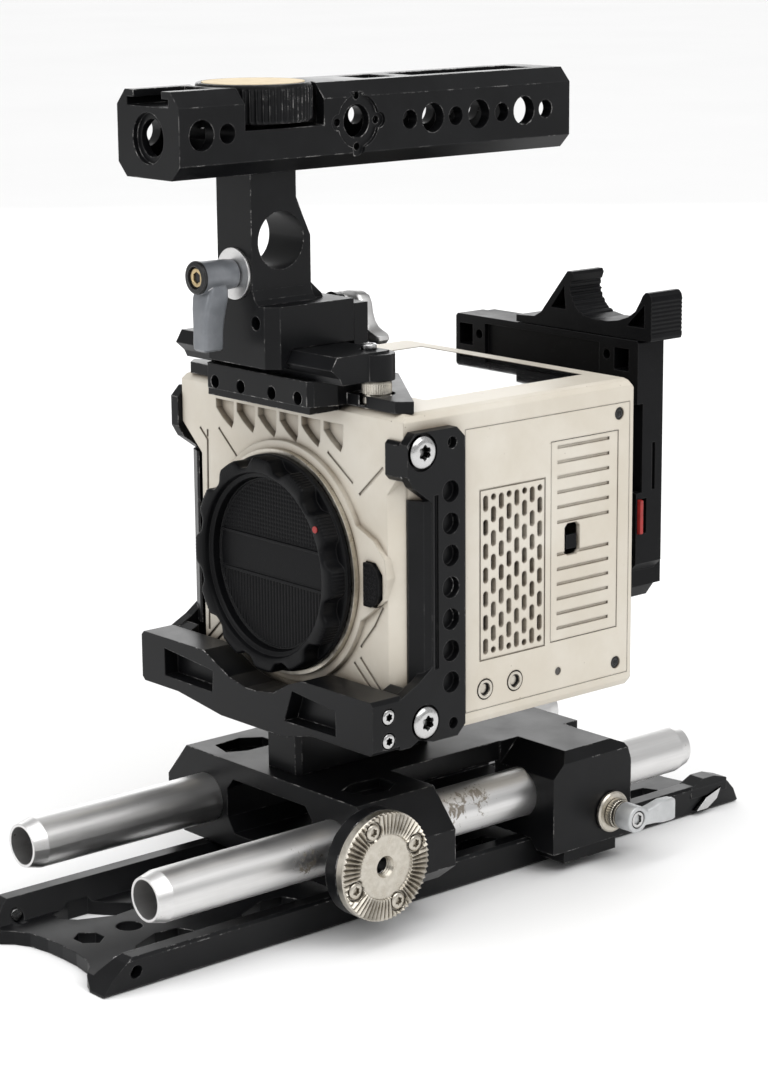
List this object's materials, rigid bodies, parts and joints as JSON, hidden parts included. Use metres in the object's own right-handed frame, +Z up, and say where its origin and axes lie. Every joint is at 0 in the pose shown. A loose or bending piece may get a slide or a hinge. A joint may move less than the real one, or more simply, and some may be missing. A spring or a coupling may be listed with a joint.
{
  "type": "cinema camera rig",
  "caption": "Box cinema camera body in a half cage on rod supports and a sliding dovetail plate, with a top handle, lens mount cap and rear battery plate",
  "frame": {"origin": "underside of the dovetail plate, on the axis of its middle threaded hole", "axes": "+X towards the side with the fan grille, -Y towards the lens, +Z up"},
  "size_m": [0.1122, 0.253, 0.2403],
  "materials": {
    "black_anodised": "satin black anodised aluminium, edges worn to bare metal",
    "brushed_silver": "turned silver aluminium",
    "nickel": "dull nickel plated",
    "stainless": "stainless steel",
    "black_steel": "black oxide steel",
    "grey_satin": "satin grey enamel",
    "brass": "dull brass",
    "cream_paint": "off-white paint, dirty in its creases",
    "black_plastic": "moulded black plastic",
    "red_plastic": "red plastic",
    "screen_glass": "dark glossy screen",
    "lamp_lens": "dark lamp lens",
    "circuit_board": "green circuit board",
    "sensor_glass": "dark sensor cover",
    "bare_aluminium": "bare aluminium",
    "wheel_inlay": "pale tan disc"
  },
  "bodies": {
    "slide_plate": {"dovetail_plate": "black_anodised", "plate_stop_screws": "stainless"},
    "end_lock": {"plate_lock_button": "stainless"},
    "right_rod": {"rod_right": "brushed_silver"},
    "left_rod": {"rod_left": "brushed_silver"},
    "plate_jaw": {"dovetail_jaw": "black_anodised"},
    "plate_lever": {"clamp_lever": "bare_aluminium", "clamp_stud": "nickel"},
    "handle": {"handle_riser": "black_anodised", "handle_bar": "black_anodised", "lever_washer": "brushed_silver"},
    "wheel": {"handle_wheel": "black_anodised", "wheel_disc": "wheel_inlay"},
    "lock": {"lock_lever": "grey_satin", "lock_bolt": "brass"},
    "rail_jaw": {"handle_clamp_jaw": "black_anodised"},
    "jaw_lever": {"handle_clamp_lever": "brushed_silver", "clamp_bolt": "stainless"},
    "mount_button": {"lens_release_button": "black_plastic"},
    "cap": {"body_cap": "black_plastic", "index_dot": "red_plastic"},
    "door": {"media_door": "cream_paint"},
    "door_latch": {"media_latch": "black_plastic"},
    "battery_lever": {"battery_release_lever": "black_plastic"},
    "battery_button": {"battery_release_button": "red_plastic"},
    "fan": {"fan_rotor": "black_plastic"},
    "camera": {"bridge_plate": "black_anodised", "riser_block": "black_anodised", "cage_frame": "black_anodised", "top_plate": "black_anodised", "nato_rail": "black_anodised", "rail_standoffs": "brushed_silver", "rosette": "nickel", "mount_ring": "nickel", "rosette_screws": "stainless", "cage_large_screws": "stainless", "cage_small_screws": "stainless", "rail_screws": "stainless", "body_screws": "black_steel", "battery_contacts": "brass", "audio_jacks": "brass", "body_shell": "cream_paint", "side_panel_right": "cream_paint", "side_panel_left": "cream_paint", "rear_panel": "cream_paint", "battery_plate": "black_plastic", "battery_adapter": "black_plastic", "fan_frame": "black_plastic", "top_screen": "screen_glass", "status_led": "lamp_lens", "main_board": "circuit_board", "sensor_board": "circuit_board", "image_sensor": "sensor_glass", "heat_sink": "bare_aluminium"}
  },
  "joints": [
    {"name": "camera_slide", "type": "slide", "parent": "slide_plate", "child": "camera", "axis": [0, 1, 0], "range_m": [-0.06, 0.04]},
    {"name": "end_lock_press", "type": "slide", "parent": "slide_plate", "child": "end_lock", "axis": [-1, 0, 0], "range_m": [0, 0.0015], "stiffness_N_per_m": 400},
    {"name": "right_rod_slide", "type": "slide", "parent": "camera", "child": "right_rod", "axis": [0, 1, 0], "range_m": [-0.015, 0.02]},
    {"name": "left_rod_slide", "type": "slide", "parent": "camera", "child": "left_rod", "axis": [0, 1, 0], "range_m": [-0.015, 0.02]},
    {"name": "plate_lever_turn", "type": "hinge", "parent": "camera", "child": "plate_lever", "pos_m": [0.048, 0.0512, 0.0161], "axis": [1, 0, 0], "range_deg": [0, 90]},
    {"name": "plate_jaw_release", "type": "slide", "parent": "camera", "child": "plate_jaw", "axis": [1, 0, 0], "range_m": [0, 0.0009]},
    {"name": "handle_slide", "type": "slide", "parent": "camera", "child": "handle", "axis": [1, 0, 0], "range_m": [-0.011, 0.011]},
    {"name": "rail_jaw_release", "type": "slide", "parent": "handle", "child": "rail_jaw", "axis": [0, 1, 0], "range_m": [0, 0.0009]},
    {"name": "jaw_lever_turn", "type": "hinge", "parent": "rail_jaw", "child": "jaw_lever", "pos_m": [0, -0.014, 0.174], "axis": [0, 1, 0], "range_deg": [0, 120]},
    {"name": "lock_turn", "type": "hinge", "parent": "handle", "child": "lock", "pos_m": [0, -0.063, 0.1872], "axis": [0, 1, 0], "range_deg": [-90, 90]},
    {"name": "wheel_spin", "type": "hinge", "parent": "handle", "child": "wheel", "pos_m": [0, -0.0475, 0.235], "axis": [0, 0, 1], "continuous": true},
    {"name": "mount_button_press", "type": "slide", "parent": "camera", "child": "mount_button", "axis": [0, 1, 0], "range_m": [0, 0.0016], "stiffness_N_per_m": 400},
    {"name": "cap_turn", "type": "hinge", "parent": "camera", "child": "cap", "pos_m": [0, -0.043, 0.1015], "axis": [0, 1, 0], "range_deg": [0, 60]},
    {"name": "door_swing", "type": "hinge", "parent": "camera", "child": "door", "pos_m": [0.0504, 0.0471, 0.106], "axis": [0, 0, 1], "range_deg": [0, 100]},
    {"name": "door_latch_slide", "type": "slide", "parent": "door", "child": "door_latch", "axis": [0, 0, 1], "range_m": [0, 0.002], "stiffness_N_per_m": 400},
    {"name": "battery_lever_slide", "type": "slide", "parent": "camera", "child": "battery_lever", "axis": [-1, 0, 0], "range_m": [0, 0.004], "stiffness_N_per_m": 400},
    {"name": "battery_button_press", "type": "slide", "parent": "camera", "child": "battery_button", "axis": [-1, 0, 0], "range_m": [0, 0.0014], "stiffness_N_per_m": 400},
    {"name": "fan_spin", "type": "hinge", "parent": "camera", "child": "fan", "pos_m": [0.0417, 0.004, 0.102], "axis": [1, 0, 0], "continuous": true}
  ],
  "couplings": [
    {"joint": "plate_lever_turn", "follows": "plate_jaw_release", "rad_per_m": 1745.3},
    {"joint": "jaw_lever_turn", "follows": "rail_jaw_release", "rad_per_m": 2327.1}
  ]
}
